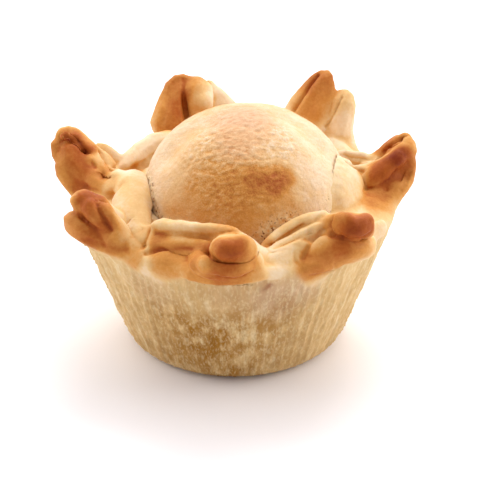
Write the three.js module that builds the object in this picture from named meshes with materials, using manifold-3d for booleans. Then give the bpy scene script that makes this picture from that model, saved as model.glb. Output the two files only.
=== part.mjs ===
// A single-serving chicken pie: a tapered pastry case with a fluted wall, a domed pastry lid,
// and a crown of seven pinched folds where the edge of the case is gathered round the lid.
// Millimetres, +Z up. The origin is the centre of the flat base.

import * as THREE from 'three';
import { ParametricGeometry } from 'three/addons/geometries/ParametricGeometry.js';
import { mergeVertices } from 'three/addons/utils/BufferGeometryUtils.js';
import Module from 'manifold-3d';

const wasm = await Module();
wasm.setup();

// Driving dimensions of the case
const baseRadius = 28.5;
const baseRounding = 5.6;
const rimRadius = 39.4;
const rimHeight = 34;
const fluteCount = 64;
const fluteDepth = 0.3;
const fluteFade = 0.7;
const footSteps = 3;
const wallSteps = 3;

// The edge above the wall, row by row from the wall to the lid: out from the rim, up from it, and how far
// the row follows the height at the foot of the lid. `drawn` is where a row lies on a pinched fold: back
// along the fold's line, and up across it.
const edgeRows = [
	{ out: 0.5, up: 1.2, drawn: [-8, -3.2] },
	{ out: 0.7, up: 2.4, drawn: [-2.5, -2.6] },
	{ out: 0.4, up: 3.4, drawn: [0, 0] },
	{ out: -0.6, up: 4.4, drawn: [-0.8, 2.2] },
	{ out: -2.5, up: 4.8, shoulder: 0.2, drawn: [-6, 2.6] },
	{ out: -6, up: 5, shoulder: 0.7 },
	{ out: -10, up: 5, shoulder: 1 },
	{ out: -17.9, up: 5, shoulder: 1 },
];

// Driving dimensions of the lid
const lidRadius = 25.5;
const lidRise = 22;
const lidCentre = new THREE.Vector3(3, 0, 38.7);
const lidFrontFlare = 2;
const seatHeight = 35.5;
const seamGap = 0.35;
const lidFlaredRows = 6;

// A plain leaf of a fold and a plain roll of the edge: how much wider it is at its root than at its tip,
// how far it is cupped, how square its section is, and the share of its length in each round end
const plainLeaf = { spread: 1.25, curl: 0, square: 2.4, tipCap: 0.3, rootCap: 0.12 };
const plainRoll = { spread: 1, curl: 0, square: 2, tipCap: 0.15, rootCap: 0.15 };

// How far the bend of a leaf is from its tip
const leafBend = 9;

// How many facets go round and along each kind of shape
const leafFacets = { around: 12, along: 7 };
const slitFacets = { around: 8, along: 5 };
const rollFacets = { around: 8, along: 7 };
const swellingFacets = { around: 28, along: 18 };
const lidFacets = { around: 48, along: 12 };

// The seven pinched folds, counted round from the front. The edge is drawn out to `reach` and `height`,
// rising at `rise` degrees, over `spread` degrees to each side. Each leaf on a fold names where its tip is:
// out from the middle, along the edge and up; then half its width across and half its depth.
const folds = [
	{
		azimuth: -93, reach: 44.2, height: 40.6, rise: 22, spread: 14, leaves: [
			{ tip: [46.6, 1.2, 47.6], half: [4.9, 3.3], tipCap: 0.38, spread: 1, root: [33, 41.6] },
			{ tip: [46.4, 0, 41.8], half: [7.8, 2.2], curl: 1, root: [31, 37.4] },
		],
		slits: [{ tip: [47.4, 1.2, 44.7], half: [4.8, 0.4], curl: 0.6, root: [41, 42] }],
	},
	{
		azimuth: -47, reach: 42.6, height: 41, rise: 25, spread: 11, leaves: [
			{ tip: [45, 1.2, 46.9], half: [5.5, 3.5], roll: -16, square: 3.4, spread: 1, root: [33, 41] },
			{ tip: [44.4, 0, 40.4], half: [8.2, 3.2], roll: -14, curl: 1, square: 3, root: [31, 36] },
		],
		slits: [{ tip: [46, 1.6, 43.6], half: [5, 0.4], roll: -22, curl: 0.8, root: [40, 41] }],
	},
	{
		azimuth: 7, reach: 46, height: 44.4, rise: 32, spread: 9.6, leaves: [
			{ tip: [45.4, 0.2, 46.8], half: [3.4, 4.2], roll: 25, slide: -2, root: [33, 37.5] },
			{ tip: [46, 2.6, 49], half: [5, 3.2], roll: 12, root: [34, 37] },
		],
		slits: [
			{ tip: [44.6, 3.2, 51.8], half: [0.8, 3], roll: 15, root: [38.5, 43] },
			{ tip: [45.5, -3.4, 44.6], half: [4, 0.4], roll: 28, slide: -4, root: [38, 40] },
		],
	},
	{
		azimuth: 53, reach: 43.4, height: 49, rise: 55, spread: 11, leaves: [
			{ tip: [43.4, 2.4, 56], half: [6, 2.4], tipCap: 0.85, spread: 1.3, slide: 2, root: [34, 40] },
			{ tip: [43.4, -3.6, 52], half: [3.8, 3], root: [38, 38] },
		],
		slits: [{ tip: [42.4, -3, 51], half: [0.4, 2], slide: 2, root: [34.5, 40] }],
	},
	{
		azimuth: 108, reach: 43, height: 49.5, rise: 58, spread: 11, leaves: [
			{ tip: [43, 0.2, 53], half: [4.7, 3], slide: 5, spread: 1.75, root: [34.6, 38] },
			{ tip: [41.8, -2, 52.2], half: [3.4, 3.6], spread: 1, rootCap: 0.3, root: [35, 44] },
			{ tip: [42.4, -5, 49.4], half: [3.4, 2.4], slide: -8, root: [37, 38] },
		],
		slits: [{ tip: [39.4, 2, 51], half: [0.6, 3.2], root: [33, 41] }],
	},
	{
		azimuth: 167, reach: 44.6, height: 48, rise: 50, spread: 10, leaves: [
			{ tip: [46.4, 0.6, 49.4], half: [3.7, 3.2], slide: 4, root: [34, 39] },
			{ tip: [45.8, -2.4, 51], half: [4.6, 3], roll: -8, slide: 4, root: [32, 40] },
			{ tip: [44.6, 4, 45], half: [3.2, 2.2], roll: -20, slide: 4, spread: 1, root: [36, 37] },
		],
		slits: [{ tip: [43.8, 0.2, 52], half: [0.6, 2.6], slide: 2, root: [38, 43] }],
	},
	{
		azimuth: 210, reach: 46.6, height: 43.4, rise: 38, spread: 11, leaves: [
			{ tip: [44.4, -1.2, 49.2], half: [3.6, 3.2], slide: 3, root: [34, 38] },
			{ tip: [43.2, 1.8, 48.6], half: [3.2, 3], slide: 7, root: [37.5, 36.5] },
		],
		slits: [{ tip: [40.8, 2.4, 50.2], half: [0.6, 3], roll: 10, slide: 4, root: [32, 41] }],
	},
];

// The edge of the case gathered between the folds. Each roll of dough names its two ends and its middle
// (azimuth, distance from the middle, height), then half its depth and half its height.
const gathers = [
	{ through: [[-134, 32, 41], [-99, 33, 45.8], [-77, 32.8, 38.2]], half: [1.6, 2.2] },
	{ through: [[-132, 34, 39.2], [-107, 34.6, 41.4], [-88, 37, 40]], half: [2.2, 3] },
	{ through: [[-140, 38, 37.5], [-118, 37.6, 37.6], [-98, 39.5, 38]], half: [2.4, 2.4] },
	{ through: [[-80, 31, 36.8], [-64, 29.5, 42.6], [-46, 33, 45.4]], half: [1.5, 1.9] },
	{ through: [[-80, 34.5, 36], [-64, 33.2, 40.6], [-48, 36, 43.6]], half: [2.6, 2.6] },
	{ through: [[-84, 38, 36.6], [-66, 36, 37.6], [-54, 37, 40.4]], half: [3, 3.4] },
	{ through: [[-40, 38, 38.4], [-31, 39.4, 38.6], [-25, 40, 38.4]], half: [1.6, 2.6] },
	{ through: [[2, 28, 43.4], [8, 32, 42.6], [10, 36, 43]], half: [1.6, 1.8] },
	{ through: [[26, 28, 43.4], [22, 32, 42.6], [16, 36, 43]], half: [1.5, 1.8] },
	{ through: [[18, 35, 39], [34, 34, 39], [50, 36, 40]], half: [3, 2.6] },
	{ through: [[62, 34, 42], [82, 31, 41], [104, 35, 42]], half: [3.2, 3] },
	{ through: [[62, 38, 38], [82, 37, 37], [104, 38, 38]], half: [2.4, 2.4] },
	{ through: [[156, 31, 37.5], [137, 31, 40.8], [118, 28, 41.5]], half: [3, 2.6] },
	{ through: [[151, 31, 36.6], [151, 36, 39.3], [153, 41, 41.8]], half: [1.6, 2.8] },
	{ through: [[118, 38, 36.5], [140, 37, 34.4], [157, 38, 37]], half: [2.4, 2.4] },
	{ through: [[186, 24.5, 43.4], [178, 29, 43], [170, 35, 44.5]], half: [1.7, 2] },
	{ through: [[194, 26, 42.4], [187, 31, 42], [178, 37, 42.6]], half: [1.7, 2] },
	{ through: [[172, 38, 37], [190, 37.2, 36.6], [204, 38, 37]], half: [2.4, 2.4] },
	{ through: [[174, 25.5, 43], [208, 28.6, 41.2], [231, 35.4, 36.4]], half: [4.6, 3] },
];

// On the right the edge swells up over the foot of the lid: the middle of the swelling and its radius
const swelling = { centre: new THREE.Vector3(16.2, -2.4, 36.1), radius: 16.8 };

// Height of the dough where it meets the lid, every thirty degrees round from the right-hand side
const shoulderHeights = [41, 41.5, 41.5, 41, 40, 38.5, 41.5, 39.4, 38.6, 37.6, 40.2, 41.5];

// The edge sags at the back left: where, how far down and over how many degrees to each side
const sag = { azimuth: 138, depth: 2.2, spread: 15 };

const degrees = (angle) => THREE.MathUtils.degToRad(angle);
const up = new THREE.Vector3(0, 0, 1);

function polar(radius, azimuth, height) {
	const a = degrees(azimuth);
	return new THREE.Vector3(radius * Math.cos(a), radius * Math.sin(a), height);
}

// A closed three.js geometry as a solid that can be joined and cut.
function solidOf(geometry) {
	const bare = geometry.clone();
	bare.deleteAttribute('normal');
	bare.deleteAttribute('uv');
	const merged = mergeVertices(bare, 1e-4);
	const corners = merged.index.array;
	const kept = [];
	for (let i = 0; i < corners.length; i += 3) {
		const [a, b, c] = corners.slice(i, i + 3);
		if (a !== b && b !== c && c !== a) kept.push(a, b, c);
	}
	return new wasm.Manifold(new wasm.Mesh({
		numProp: 3,
		vertProperties: merged.attributes.position.array,
		triVerts: new Uint32Array(kept),
	}));
}

function geometryOf(solid) {
	const mesh = solid.getMesh();
	const geometry = new THREE.BufferGeometry();
	geometry.setAttribute('position', new THREE.BufferAttribute(new Float32Array(mesh.vertProperties), 3));
	geometry.setIndex(new THREE.BufferAttribute(new Uint32Array(mesh.triVerts), 1));
	geometry.computeVertexNormals();
	return geometry;
}

// 1 along the body of a leaf, falling to 0 in a round end at each side.
function roundEnds(s, rootCap, tipCap) {
	if (s < rootCap) return Math.sqrt(Math.max(0, 1 - ((rootCap - s) / rootCap) ** 2));
	if (s > 1 - tipCap) return Math.sqrt(Math.max(0, 1 - ((s - 1 + tipCap) / tipCap) ** 2));
	return 1;
}

const softPower = (x, power) => Math.sign(x) * Math.abs(x) ** power;

// A leaf of dough: a rounded slab swept along a curve, wide across `side`, cupped by `curl`.
function leaf({ curve, side, half, spread, curl, square, tipCap, rootCap, around, along }) {
	const place = (u, v, target) => {
		const s = 0.5 - 0.5 * Math.cos(Math.PI * v);
		const cap = roundEnds(s, rootCap, tipCap);
		const tangent = curve.getTangent(s);
		const across = side.clone().addScaledVector(tangent, -side.dot(tangent)).normalize();
		const normal = new THREE.Vector3().crossVectors(tangent, across);
		const angle = u * Math.PI * 2;
		const x = softPower(Math.cos(angle), 2 / square);
		const y = softPower(Math.sin(angle), 2 / square);
		const grown = THREE.MathUtils.lerp(spread, 1, s) * cap;
		target.copy(curve.getPoint(s));
		target.addScaledVector(across, x * half[0] * grown);
		target.addScaledVector(normal, y * half[1] * grown + curl * x * x * cap);
	};
	return solidOf(new ParametricGeometry(place, around, along));
}

// Grows leaves of one pinched fold, rolled about the line in which the fold rises outwards.
function growerOf(fold) {
	const outward = polar(1, fold.azimuth, 0);
	const sideways = polar(1, fold.azimuth + 90, 0);
	const axis = outward.clone().multiplyScalar(Math.cos(degrees(fold.rise)));
	axis.addScaledVector(up, Math.sin(degrees(fold.rise)));
	return (leaves, facets) => leaves.map(({ tip, half, root, slide = 0, roll = 0, ...shape }) => {
		const end = polar(tip[0], fold.azimuth, tip[2]).addScaledVector(sideways, tip[1]);
		const bend = end.clone().addScaledVector(axis, -leafBend).addScaledVector(sideways, slide * 0.5);
		const start = polar(root[0], fold.azimuth, root[1]).addScaledVector(sideways, tip[1] + slide);
		return leaf({
			curve: new THREE.QuadraticBezierCurve3(start, bend, end),
			side: sideways.clone().applyAxisAngle(axis, degrees(roll)),
			half, ...plainLeaf, ...facets, ...shape,
		});
	});
}

// One roll of the gathered edge, swept through its three named places.
function gatheredRoll({ through, half }) {
	const [from, middle, to] = through.map(([azimuth, radius, height]) => polar(radius, azimuth, height));
	const bend = middle.clone().multiplyScalar(2).addScaledVector(from, -0.5).addScaledVector(to, -0.5);
	return leaf({
		curve: new THREE.QuadraticBezierCurve3(from, bend, to), side: up, half: [half[1], half[0]],
		...plainRoll, ...rollFacets,
	});
}

// The swelling, a round mass of which only the part outside the lid is left.
function swollenEdge() {
	const ball = new THREE.SphereGeometry(swelling.radius, swellingFacets.around, swellingFacets.along);
	return solidOf(ball.translate(swelling.centre.x, swelling.centre.y, swelling.centre.z));
}

// Height of the dough at the foot of the lid, eased between the named heights.
function shoulderAt(azimuth) {
	const count = shoulderHeights.length;
	const place = ((azimuth / 360 * count) % count + count) % count;
	const i = Math.floor(place);
	const ease = 0.5 - 0.5 * Math.cos(Math.PI * (place - i));
	return THREE.MathUtils.lerp(shoulderHeights[i], shoulderHeights[(i + 1) % count], ease);
}

// How strongly a fold or a sag draws the edge of the case at an azimuth, from 1 on its line to 0 beside it.
function drawnBy(fold, azimuth) {
	const away = Math.abs(((azimuth - fold.azimuth + 540) % 360) - 180);
	return Math.exp(-((away / fold.spread) ** 2.4));
}

// The solid case: flat base, rounded foot, fluted wall, and an edge drawn out under each fold.
function caseBody() {
	const wallSlope = Math.atan2(rimRadius - baseRadius, rimHeight);
	const rows = [{ r: 0, z: 0 }, { r: baseRadius - baseRounding, z: 0 }];
	for (let i = 1; i <= footSteps; i++) {
		const a = -Math.PI / 2 + (Math.PI / 2 - wallSlope) * i / footSteps;
		rows.push({
			r: baseRadius - baseRounding + baseRounding * Math.cos(a),
			z: baseRounding * (1 + Math.sin(a)),
			flute: i / footSteps,
		});
	}
	const foot = rows[rows.length - 1];
	for (let i = 1; i <= wallSteps; i++) {
		const t = i / wallSteps;
		rows.push({
			r: THREE.MathUtils.lerp(foot.r, rimRadius, t),
			z: THREE.MathUtils.lerp(foot.z, rimHeight, t),
			flute: 1 - fluteFade * t,
		});
	}
	for (const { out, up: above, ...rest } of edgeRows) {
		rows.push({ r: rimRadius + out, z: rimHeight + above, ...rest });
	}
	rows.push({ r: 0, z: seatHeight });
	const place = (u, v, target) => {
		const row = rows[Math.round(v * (rows.length - 1))];
		const azimuth = u * 360;
		const wave = Math.cos(degrees(azimuth) * fluteCount);
		let radius = row.r > 0 ? row.r + fluteDepth * (row.flute ?? 0) * wave : 0;
		const sagged = row.drawn ? sag.depth * drawnBy(sag, azimuth) : 0;
		let height = THREE.MathUtils.lerp(row.z - sagged, shoulderAt(azimuth), row.shoulder ?? 0);
		for (const fold of row.drawn ? folds : []) {
			const [back, above] = row.drawn;
			const [cos, sin] = [Math.cos(degrees(fold.rise)), Math.sin(degrees(fold.rise))];
			const pull = drawnBy(fold, azimuth);
			radius = THREE.MathUtils.lerp(radius, fold.reach + back * cos - above * sin, pull);
			height = THREE.MathUtils.lerp(height, fold.height + back * sin + above * cos, pull);
		}
		target.copy(polar(radius, azimuth, height));
	};
	return solidOf(new ParametricGeometry(place, fluteCount * 2, rows.length - 1));
}

// The domed lid, its foot spread further towards the front, grown by `extra` all round.
function lid(extra) {
	const rows = lidFacets.along;
	const place = (u, v, target) => {
		const azimuth = u * 360;
		const row = Math.round(v * (rows + 1));
		if (row === 0) {
			target.set(lidCentre.x, lidCentre.y, seatHeight - extra);
			return;
		}
		const elevation = Math.PI / 2 * (row - 1) / rows;
		const foot = Math.max(0, 1 - (row - 1) / lidFlaredRows);
		const front = Math.max(0, -Math.sin(degrees(azimuth))) ** 2;
		const flare = lidFrontFlare * front * foot ** 2;
		const radius = row > rows ? 0 : (lidRadius + extra) * Math.cos(elevation) + flare;
		const dome = lidCentre.z + (lidRise + extra) * Math.sin(elevation);
		target.copy(polar(radius, azimuth, row === 1 ? seatHeight - extra : dome));
		target.x += lidCentre.x;
	};
	return solidOf(new ParametricGeometry(place, lidFacets.around, rows + 1));
}

const crown = folds.flatMap((fold) => growerOf(fold)(fold.leaves, leafFacets));
const slits = folds.flatMap((fold) => growerOf(fold)(fold.slits, slitFacets));
const gathered = [...gathers.map(gatheredRoll), swollenEdge()];
const dough = wasm.Manifold.union([caseBody(), ...crown, ...gathered]);
const seated = dough.subtract(wasm.Manifold.union([lid(seamGap), ...slits]));
const pastryCase = seated.decompose().reduce((a, b) => (a.volume() > b.volume() ? a : b));

const pie = new THREE.Group();

function addPart(name, solid, colour, roughness) {
	const material = new THREE.MeshStandardMaterial({ color: colour, roughness, metalness: 0 });
	const mesh = new THREE.Mesh(geometryOf(solid), material);
	mesh.name = name;
	pie.add(mesh);
}

addPart('pastry_case', pastryCase, 0xdcb277, 0.75);
addPart('pastry_lid', lid(0), 0xd9a56b, 0.7);

export default pie;
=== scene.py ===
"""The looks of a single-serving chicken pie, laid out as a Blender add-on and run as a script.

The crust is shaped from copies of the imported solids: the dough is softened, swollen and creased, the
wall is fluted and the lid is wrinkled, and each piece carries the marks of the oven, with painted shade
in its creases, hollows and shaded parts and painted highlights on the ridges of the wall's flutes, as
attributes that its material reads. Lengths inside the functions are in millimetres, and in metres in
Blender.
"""

import itertools
import math

import bpy
import numpy as np
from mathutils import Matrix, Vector, noise
from mathutils.bvhtree import BVHTree


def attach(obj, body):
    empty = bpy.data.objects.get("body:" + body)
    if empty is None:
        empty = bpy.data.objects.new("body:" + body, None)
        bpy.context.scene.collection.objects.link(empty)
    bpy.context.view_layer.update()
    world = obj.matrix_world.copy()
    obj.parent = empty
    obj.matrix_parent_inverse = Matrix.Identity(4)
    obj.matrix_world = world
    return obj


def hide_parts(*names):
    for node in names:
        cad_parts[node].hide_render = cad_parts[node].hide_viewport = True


bl_info = {
    "name": "Chicken pie",
    "version": (1, 0, 0),
    "blender": (4, 5, 0),
    "location": "View3D > Sidebar > Pie",
    "description": "Shapes and bakes the crust of a small chicken pie and sets it on a pale table",
    "category": "Object",
}

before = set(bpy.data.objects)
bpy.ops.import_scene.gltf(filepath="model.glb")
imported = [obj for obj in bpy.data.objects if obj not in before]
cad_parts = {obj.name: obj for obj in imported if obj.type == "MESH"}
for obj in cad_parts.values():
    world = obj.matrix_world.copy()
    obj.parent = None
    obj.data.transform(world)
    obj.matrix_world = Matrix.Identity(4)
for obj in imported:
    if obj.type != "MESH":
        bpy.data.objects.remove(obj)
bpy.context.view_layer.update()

MM = 0.001
MOST_TRIANGLES = 190000

# Vertices this near to each other, in millimetres, are one, and this keeps a radius above zero
MERGED_WITHIN = 0.001
TINY = 1e-6

# The camera of the photograph: what it looks at, from how far and how high, its lens and sensor, how
# near it sees, and the pixels along a side of the photograph
CAMERA_AIM = (3.8, 0, 22.4)
CAMERA_AWAY = 600
CAMERA_ELEVATION = 29
CAMERA_LENS = 171.07
CAMERA_SENSOR = 36
CAMERA_NEAR = 10
PHOTO_SIDE = 500

# The table's side in metres, and the room: its tint, how bright it is in front of the pie and behind
# it, and between which directions, from -1 in front to 1 behind, it brightens
TABLE_SIDE = 6
ROOM_TINT = (0.965, 0.965, 1.0, 1.0)
BRIGHT_FRONT = 0.65
BRIGHT_BEHIND = 1.85
BRIGHTENS = (-0.5, 0.7)

# The lights: name, place and side in metres, watts and tint, and the height in millimetres they aim at
LIGHTS = [
    ("window", (0.12, 0.45, 0.75), 0.5, 3.0, (1.0, 0.985, 0.97)),
    ("right_wall", (0.62, 0.05, 0.35), 0.4, 1.5, (1.0, 1.0, 1.0)),
    ("left_wall", (-0.62, 0.05, 0.35), 0.4, 1.0, (1.0, 1.0, 1.0)),
]
LIT_HEIGHT = 30

# Smoothing passes: over the new case and lid, where the hand worked the dough, and round a vertex of
# the case or the lid to tell how deep it lies
CASE_PASSES = 5
LID_PASSES = 24
WORKED_PASSES = 80
CASE_HOLLOW_PASSES = 30
LID_HOLLOW_PASSES = 10

# Radius at which the patterns of the wall are laid out flat
WALL_RADIUS = 34

# A stroke's line has this many steps, none of them longer than this where it stays on one fold, and
# the stroke acts within this many half widths of it
LINE_STEPS = 10
LONGEST_STEP = 4
STROKE_REACH = 3

# A crease: how many half widths to where its sides end, the power that curves them, the power that
# fades its shade, and how much of the shade a millimetre of depth gives
CREASE_SPREAD = 1.6
CREASE_CURVE = 1.5
SHADE_CURVE = 1.3
SHADE_BY_DEPTH = 0.6

# Weight of the palest dough beside that of a browned spot at its middle, equal at the spot's reach,
# and how far the edge of a spot strays, in lumps of what size, read at which shifts for the three axes
SPOT_BASE = 0.08
SPOT_STRAY = 1.6
SPOT_LUMPS = 4.5
SPOT_SHIFTS = (0, 40, 80)

# The seam: between which gaps the dough stops being drawn to the lid, what share of the gap it is
# drawn, what it is drawn more where it closed over the seam, and where that begins, along x and along z
SEAM_GAP = (0.5, 1.8)
DRAWN = 0.85
DRAWN_CLOSED = 0.25
CLOSED_X = (17, 20)
CLOSED_Z = (40, 42)

# The outside of the wall: how ragged its upper edge is and how blunt the dips in it are, from which
# lean the dough counts as outside, and from which as the base, as parts of a unit normal, and over what
# height to each side of the edge its colours and its flutes are blended
EDGE_RAGGED = 0.6
EDGE_BLUNT = 2.4
OUTSIDE_LEAN = (0.1, 0.5)
BASE_LEAN = (0.3, 0.7)
WALL_BLEND = 1.5
FLUTE_BLEND = 1.6

# The flutes: how many pitches they drift, how much they are marked, the power that sharpens their
# ridges, the least that they show, what the crinkles add, over which heights they begin, and below which
# the dough is flat
FLUTE_DRIFT = 1.1
FLUTE_MARKED = 0.6
FLUTE_SHARP = 0.6
FLUTE_LEAST = 0.1
CRINKLED = 0.7
FLUTES_BEGIN = (0.4, 4)
FLAT_BELOW = 0.35

# The heights over which the unevenness of the hand begins on the crown, and the wrinkles on the lid
HAND_BEGINS = (34, 40)
WRINKLES_BEGIN = (40, 45)

# The lid: how uneven it is, how rough the crumbs at its foot are, and over which gaps to the case they
# end
LID_UNEVEN = 0.25
CRUMBS = 0.4
CRUMBS_GAP = (0.6, 3)

# The foot of the lid: over which gaps to the case it ends, how much further it reaches at the front, how
# far in front that is, how floury it is, and where no specks scorched on it, along x and along z
FOOT_GAP = (0.6, 2.6)
FOOT_FRONT = 2.4
FRONT_Y = (12, 22)
FLOURED = 0.6
CLEAN_X = (12, 17)
CLEAN_Z = (44, 46)

# How the colour follows the relief: painted shade darkens hollows and creases, and a painted highlight
# pales what stands out. The depth of a full hollow and the range that counts, then the painted shade of
# hollows and creases and the browning of lumps on the case, and the painted shade of wrinkles of this
# depth on the lid
DEEP_HOLLOW = 0.6
HOLLOW_RANGE = (-0.12, 0.5)
HOLLOW_PAINTED_SHADE = 0.26
CREASE_PAINTED_SHADE = 0.3
LUMP_BROWNING = 0.06
DEEP_WRINKLE = 0.1
WRINKLE_PAINTED_SHADE = 0.1

# The shade from which a crease takes the dark colour of painted shade and how fast it darkens, and from
# which height of a flute its ridge is pale as a painted highlight
CREASE_DARK_FROM = 0.45
CREASE_DARKENS = 1.4
RIDGE_HIGHLIGHT_FROM = 0.1

# Where the crust of the crown gives way to the wall: azimuth, height there, and degrees to each side
EDGE_HEIGHT = 36
EDGE_HEIGHTS = [
    (-93, 36.2, 14),
    (-118, 33, 9),
    (-67, 38, 6),
    (-60, 31, 7),
    (-44, 35, 8),
    (7, 36, 11),
    (53, 45, 11),
    (108, 45.5, 11),
    (167, 39, 10),
    (210, 37, 11),
]

# In the tables below a place is a pixel of the photograph, laid on the dough as the camera sees it, or,
# where the camera doesn't see it, x, y and z

# Where the hand smoothed the dough: a place, how far round it, and how much
WORKED = [
    ((157, 249), 3.0, 1.0),
    ((146, 230), 3.5, 1.0),
    ((110, 177), 4.0, 1.0),
    ((103, 178), 3.5, 1.0),
    ((100, 171), 3.5, 1.0),
    ((92, 160), 3.0, 1.0),
    ((127, 247), 3.0, 0.9),
    ((203, 90), 2.5, 0.8),
    ((184, 88), 3.0, 0.9),
    ((185, 102), 4.5, 1.0),
    ((187, 114), 4.0, 1.0),
    ((219, 262), 2.5, 0.8),
    ((232, 264), 3.0, 0.9),
    ((247, 261), 3.0, 0.9),
    ((254, 250), 4.0, 1.0),
    ((168, 237), 3.5, 0.8),
    ((186, 238), 3.5, 0.8),
    ((204, 240), 3.0, 0.8),
    ((334, 250), 4.0, 0.9),
    ((304, 252), 4.0, 0.8),
    ((378, 156), 3.0, 0.9),
]

# Swellings and hollows of the dough: half width, height, which is below zero for a hollow, and three
# places on its line
FORMS = {
    "front fold": [
        (3.2, 0.8, (226, 243), (233, 241), (241, 244)),
        (1.0, -0.4, (211, 241), (209, 249), (212, 257)),
        (1.6, 1.2, (207, 252), (199, 260), (206, 267)),
        (2.2, 2.0, (207, 266), (229, 268), (254, 260)),
        (2.4, 1.4, (246, 243), (251, 248), (256, 252)),
        (1.0, -1.2, (196, 268), (226, 278), (254, 271)),
        (1.2, 0.7, (190, 277), (222, 282), (262, 277)),
        (2.0, -1.0, (190, 286), (222, 290), (262, 286)),
    ],
    "ribbons between the front folds": [
        (2.2, 0.8, (268, 254), (288, 248), (304, 240)),
        (1.5, 0.6, (274, 240), (290, 228), (308, 219)),
    ],
    "front right fold": [
        (1.6, -0.5, (320, 231), (311, 239), (305, 252)),
        (1.8, 0.9, (322, 240), (317, 250), (318, 262)),
        (1.6, 0.5, (340, 216), (344, 215), (348, 216)),
        (1.6, 0.4, (364, 216), (368, 215), (371, 218)),
        (1.2, -0.6, (29.4, -27.4, 47.8), (357, 215), (357, 219)),
        (1.6, 1.2, (312, 266), (324, 266), (336, 264)),
        (2.2, 0.5, (322, 254), (345, 251), (366, 243)),
    ],
    "right fold": [
        (3.0, 0.8, (375, 178), (392, 165), (406, 152)),
        (2.4, -2.0, (404, 172), (407, 168), (410, 163)),
        (2.0, -1.3, (382, 150), (388, 142), (397, 138)),
        (1.8, 1.5, (386, 149), (395, 143), (403, 138)),
    ],
    "back folds": [
        (1.2, 0.5, (324, 78), (312, 93), (300, 112)),
        (2.2, 0.6, (197, 85), (195, 100), (195, 112)),
        (2.0, 1.2, (208, 86), (208, 94), (206, 104)),
        (2.8, -1.0, (167, 93), (173, 83), (182, 78)),
    ],
    "left folds": [
        (2.2, -0.6, (97, 188), (106, 194), (113, 193)),
        (2.2, -1.6, (55, 150), (59, 138), (68, 129)),
        (1.8, -0.8, (72, 189), (75, 196), (78, 201)),
        (1.8, 1.4, (97, 175), (105, 178), (116, 178)),
        (1.2, 0.8, (80, 146), (86, 152), (91, 159)),
        (4.0, 1.0, (130, 182), (136, 205), (136, 238)),
        (1.6, 0.8, (103, 200), (112, 215), (120, 240)),
        (1.2, 0.6, (110, 250), (122, 255), (140, 264)),
    ],
    "panel left of the front fold": [
        (1.2, 0.8, (155, 226), (195, 227), (234, 232)),
        (1.2, -0.8, (156, 219), (195, 220), (236, 226)),
        (1.6, -0.3, (156, 234), (185, 236), (210, 238)),
        (1.2, 0.7, (152, 245), (178, 242), (206, 243)),
        (2.0, 0.8, (150, 262), (172, 254), (196, 255)),
    ],
}

# Where the lid is flatter behind its shoulders
LID_FORMS = {
    "shoulders": [
        (5.0, -1.8, (168, 151), (185, 131), (207, 119)),
        (5.0, -1.6, (286, 115), (303, 125), (322, 145)),
    ],
}

# Creases pressed into the dough: half width, depth, and three places on its line
CREASES = {
    "front fold": [
        (0.5, 0.8, (217, 257), (231, 262), (250, 256)),
        (0.6, 0.6, (238, 235), (245, 238), (250, 243)),
    ],
    "ribbons between the front folds": [
        (0.6, 1.2, (271, 245), (286, 235), (303, 223)),
        (0.8, 1.2, (275, 249), (295, 240), (312, 231)),
        (0.6, 0.4, (297, 246), (295, 253), (296, 262)),
    ],
    "front right fold": [
        (0.9, 1.2, (303, 239), (314, 237), (323, 229)),
        (0.6, 0.8, (320, 235), (310, 244), (303, 258)),
        (0.8, 1.0, (332, 218), (329, 226), (333, 235)),
        (0.6, 0.4, (341, 237), (355, 238), (372, 232)),
        (0.6, 0.6, (330, 234), (336, 236), (342, 237)),
    ],
    "right fold": [
        (0.6, 0.8, (384, 151), (393, 146), (403, 139)),
        (0.6, 0.7, (364, 189), (383, 182), (398, 171)),
        (0.6, 0.6, (399, 171), (405, 168), (411, 164)),
        (0.8, 0.8, (345, 155), (354, 158), (372, 158)),
        (0.8, 0.8, (349, 163), (356, 168), (363, 172)),
    ],
    "back right fold": [
        (0.5, 0.9, (318, 75), (307, 90), (294, 111)),
        (0.35, 0.6, (342, 97), (334, 114), (326, 127)),
    ],
    "back left fold": [
        (0.8, 0.9, (184, 78), (184, 97), (187, 115)),
        (0.8, 0.3, (207, 92), (206, 98), (203, 105)),
        (0.8, 0.4, (174, 85), (168, 105), (162, 123)),
    ],
    "left fold": [
        (1.0, 1.2, (101, 150), (107, 162), (112, 170)),
        (1.0, 1.2, (122, 170), (134, 168), (146, 164)),
        (0.8, 0.6, (107, 199), (115, 193), (123, 184)),
        (0.7, 1.4, (71, 132), (80, 143), (88, 153)),
        (0.7, 1.0, (62, 143), (73, 142), (85, 154)),
        (0.6, 0.7, (88, 155), (93, 163), (97, 174)),
    ],
    "front left fold": [
        (0.9, 0.3, (110, 205), (119, 222), (128, 249)),
        (1.0, 0.3, (85, 240), (105, 246), (130, 254)),
        (0.9, 1.2, (98, 201), (101, 214), (112, 230)),
        (0.8, 0.25, (76, 204), (84, 220), (108, 233)),
    ],
    "panel left of the front fold": [
        (0.7, 1.0, (153, 222), (148, 236), (143, 248)),
        (0.6, 0.5, (156, 233), (182, 234), (208, 239)),
        (0.8, 1.0, (146, 254), (172, 249), (203, 250)),
    ],
}
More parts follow.
